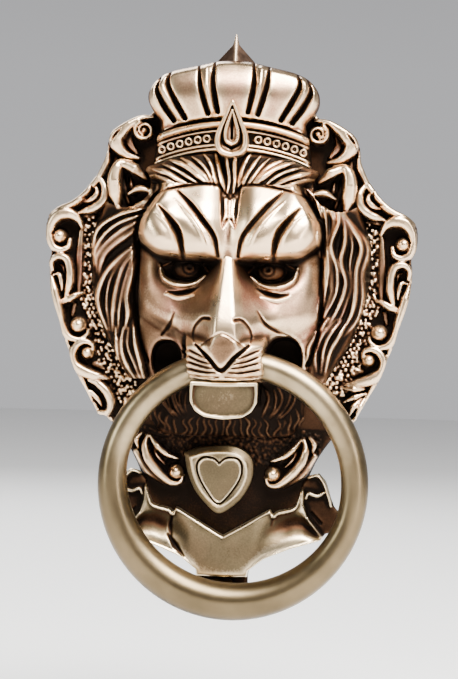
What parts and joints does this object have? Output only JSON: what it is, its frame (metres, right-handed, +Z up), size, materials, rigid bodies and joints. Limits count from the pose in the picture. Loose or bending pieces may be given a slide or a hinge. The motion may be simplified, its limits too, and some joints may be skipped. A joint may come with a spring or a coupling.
{
  "type": "door knocker",
  "caption": "Lion-mask door knocker: a ring swings from the mouth of a mask on a scroll-bordered plate and strikes a stud, with two studs through the door.",
  "frame": {"origin": "on the face of the door, half way between the two mounting studs", "axes": "+Z up the door, +Y into the door, +X to the right as seen from in front; the mask looks along -Y"},
  "size_m": [0.1414, 0.094, 0.2188],
  "materials": {
    "antique_brass": "cast, polished on the high points and dark in the recesses",
    "polished_brass": "satin polished",
    "dark_bronze": "dark patina",
    "screw_brass": "turned",
    "zinc_steel": "zinc plated"
  },
  "bodies": {
    "plate": {"backplate": "antique_brass", "lion_mask": "antique_brass", "crown": "antique_brass", "crown_jewel": "antique_brass", "finial": "dark_bronze", "lower_jaw": "antique_brass", "heart_shield": "antique_brass", "ribbon_banner": "antique_brass", "strike_stud": "polished_brass", "mounting_stud_upper": "zinc_steel", "mounting_stud_lower": "zinc_steel", "washer_upper": "zinc_steel", "washer_lower": "zinc_steel", "nut_upper": "zinc_steel", "nut_lower": "zinc_steel", "mask_screw_left": "screw_brass", "mask_screw_right": "screw_brass", "crown_screw": "screw_brass", "jaw_screw": "screw_brass", "ribbon_screw_left": "screw_brass", "ribbon_screw_right": "screw_brass"},
    "ring": {"knocker_ring": "polished_brass"}
  },
  "joints": [
    {"name": "ring_swing", "type": "hinge", "parent": "plate", "child": "ring", "pos_m": [0, -0.022, -0.0086], "axis": [-1, 0, 0], "range_deg": [0, 165]}
  ]
}
